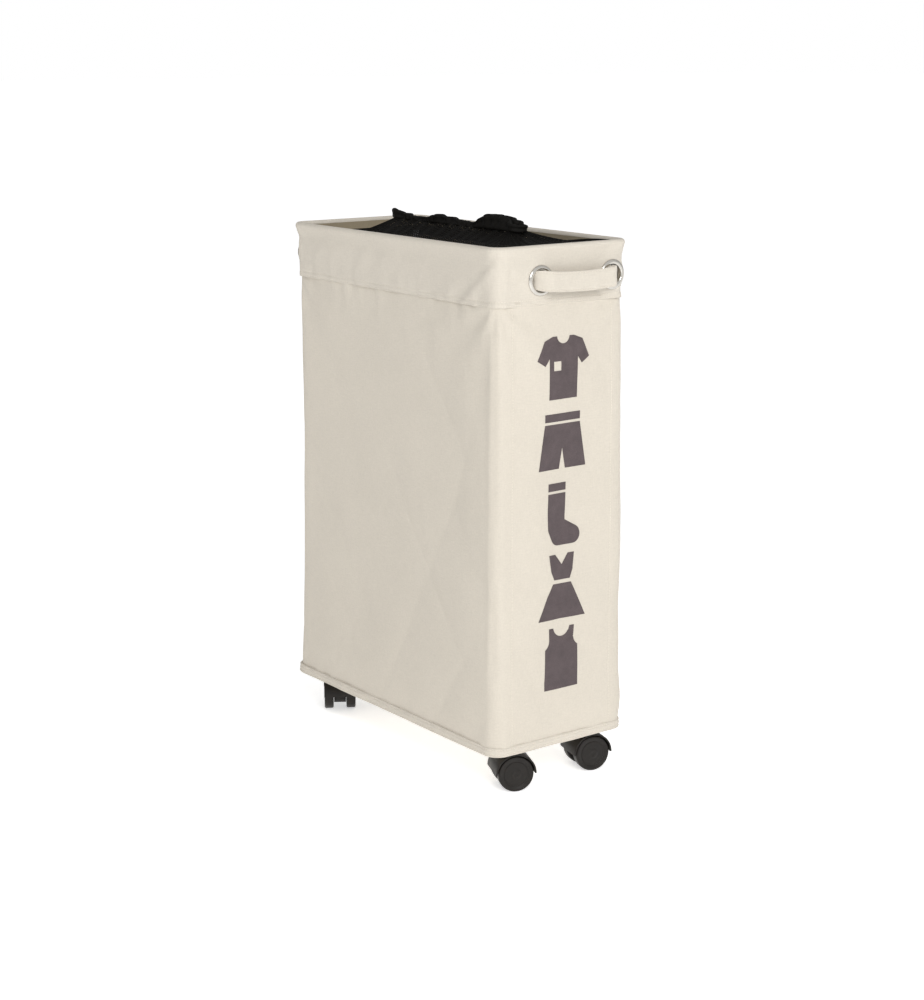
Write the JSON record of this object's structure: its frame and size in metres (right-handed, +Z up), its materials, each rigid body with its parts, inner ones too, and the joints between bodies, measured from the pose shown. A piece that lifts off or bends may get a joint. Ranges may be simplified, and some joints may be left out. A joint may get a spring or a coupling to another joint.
{
  "type": "rolling laundry bin",
  "caption": "Slim upright laundry bin of canvas on a hidden steel frame, with a gathered net top, strap handles in metal eyelets and swivelling twin-wheel castors.",
  "frame": {"origin": "on the floor under the middle of the bin", "axes": "+Z up; X along the long side, with the printed end at +X; -Y is the front long side"},
  "size_m": [0.428, 0.185, 0.6202],
  "materials": {
    "canvas": "plain woven beige canvas, matt",
    "canvas_trim": "the same canvas doubled in the cuff, hem and handles",
    "steel_frame": "grey powder-coated wire and tube",
    "zinc_steel": "zinc-plated",
    "eyelet_metal": "bright nickel plate",
    "base_plastic": "moulded polypropylene, fine texture",
    "hardboard": "plain brown hardboard",
    "castor_plastic": "moulded black plastic, satin",
    "wheel_plastic": "hard black plastic",
    "net": "fine black warp-knit net",
    "net_binding": "gathered black woven tape",
    "elastic": "covered round elastic",
    "ink": "charcoal screen print soaked into the canvas"
  },
  "bodies": {
    "bin": {"top_hoop": "steel_frame", "front_left_post": "steel_frame", "front_right_post": "steel_frame", "back_left_post": "steel_frame", "back_right_post": "steel_frame", "post_caps": "base_plastic", "base_board": "hardboard", "front_left_foot": "base_plastic", "front_right_foot": "base_plastic", "back_left_foot": "base_plastic", "back_right_foot": "base_plastic", "foot_screws": "zinc_steel", "front_panel": "canvas", "back_panel": "canvas", "left_panel": "canvas", "right_panel": "canvas", "front_left_sleeve": "canvas", "front_right_sleeve": "canvas", "back_left_sleeve": "canvas", "back_right_sleeve": "canvas", "floor_cloth": "canvas", "hem_welt": "canvas_trim", "cuff": "canvas_trim", "left_eyelets": "eyelet_metal", "right_eyelets": "eyelet_metal", "eyelet_washers": "eyelet_metal", "left_strap_ends": "canvas_trim", "right_strap_ends": "canvas_trim", "net_cover": "net", "mouth_lips": "net_binding", "mouth_elastic": "elastic", "garment_print": "ink", "front_left_stem": "zinc_steel", "front_right_stem": "zinc_steel", "back_left_stem": "zinc_steel", "back_right_stem": "zinc_steel"},
    "front_left_castor": {"front_left_housing": "castor_plastic", "front_left_axle": "zinc_steel"},
    "front_left_wheel_a": {"front_left_wheel_a": "wheel_plastic"},
    "front_left_wheel_b": {"front_left_wheel_b": "wheel_plastic"},
    "front_right_castor": {"front_right_housing": "castor_plastic", "front_right_axle": "zinc_steel"},
    "front_right_wheel_a": {"front_right_wheel_a": "wheel_plastic"},
    "front_right_wheel_b": {"front_right_wheel_b": "wheel_plastic"},
    "back_left_castor": {"back_left_housing": "castor_plastic", "back_left_axle": "zinc_steel"},
    "back_left_wheel_a": {"back_left_wheel_a": "wheel_plastic"},
    "back_left_wheel_b": {"back_left_wheel_b": "wheel_plastic"},
    "back_right_castor": {"back_right_housing": "castor_plastic", "back_right_axle": "zinc_steel"},
    "back_right_wheel_a": {"back_right_wheel_a": "wheel_plastic"},
    "back_right_wheel_b": {"back_right_wheel_b": "wheel_plastic"},
    "left_handle": {"left_handle": "canvas_trim"},
    "right_handle": {"right_handle": "canvas_trim"}
  },
  "joints": [
    {"name": "front_left_swivel", "type": "hinge", "parent": "bin", "child": "front_left_castor", "pos_m": [-0.162, -0.0535, 0], "axis": [0, 0, 1], "continuous": true},
    {"name": "front_left_wheel_a_spin", "type": "hinge", "parent": "front_left_castor", "child": "front_left_wheel_a", "pos_m": [-0.17218, -0.04714, 0.02], "axis": [-0.5299, -0.848, 0], "continuous": true},
    {"name": "front_left_wheel_b_spin", "type": "hinge", "parent": "front_left_castor", "child": "front_left_wheel_b", "pos_m": [-0.17218, -0.04714, 0.02], "axis": [-0.5299, -0.848, 0], "continuous": true},
    {"name": "front_right_swivel", "type": "hinge", "parent": "bin", "child": "front_right_castor", "pos_m": [0.162, -0.0535, 0], "axis": [0, 0, 1], "continuous": true},
    {"name": "front_right_wheel_a_spin", "type": "hinge", "parent": "front_right_castor", "child": "front_right_wheel_a", "pos_m": [0.16669, -0.04245, 0.02], "axis": [-0.9205, 0.3907, 0], "continuous": true},
    {"name": "front_right_wheel_b_spin", "type": "hinge", "parent": "front_right_castor", "child": "front_right_wheel_b", "pos_m": [0.16669, -0.04245, 0.02], "axis": [-0.9205, 0.3907, 0], "continuous": true},
    {"name": "back_left_swivel", "type": "hinge", "parent": "bin", "child": "back_left_castor", "pos_m": [-0.162, 0.0535, 0], "axis": [0, 0, 1], "continuous": true},
    {"name": "back_left_wheel_a_spin", "type": "hinge", "parent": "back_left_castor", "child": "back_left_wheel_a", "pos_m": [-0.1661, 0.04222, 0.02], "axis": [0.9397, -0.342, 0], "continuous": true},
    {"name": "back_left_wheel_b_spin", "type": "hinge", "parent": "back_left_castor", "child": "back_left_wheel_b", "pos_m": [-0.1661, 0.04222, 0.02], "axis": [0.9397, -0.342, 0], "continuous": true},
    {"name": "back_right_swivel", "type": "hinge", "parent": "bin", "child": "back_right_castor", "pos_m": [0.162, 0.0535, 0], "axis": [0, 0, 1], "continuous": true},
    {"name": "back_right_wheel_a_spin", "type": "hinge", "parent": "back_right_castor", "child": "back_right_wheel_a", "pos_m": [0.16511, 0.06509, 0.02], "axis": [-0.9659, 0.2588, 0], "continuous": true},
    {"name": "back_right_wheel_b_spin", "type": "hinge", "parent": "back_right_castor", "child": "back_right_wheel_b", "pos_m": [0.16511, 0.06509, 0.02], "axis": [-0.9659, 0.2588, 0], "continuous": true},
    {"name": "left_handle_lift", "type": "hinge", "parent": "bin", "child": "left_handle", "pos_m": [-0.203, -0.016, 0.574], "axis": [0, 1, 0], "range_deg": [0, 80]},
    {"name": "right_handle_lift", "type": "hinge", "parent": "bin", "child": "right_handle", "pos_m": [0.203, 0.016, 0.574], "axis": [0, -1, 0], "range_deg": [0, 80]}
  ]
}
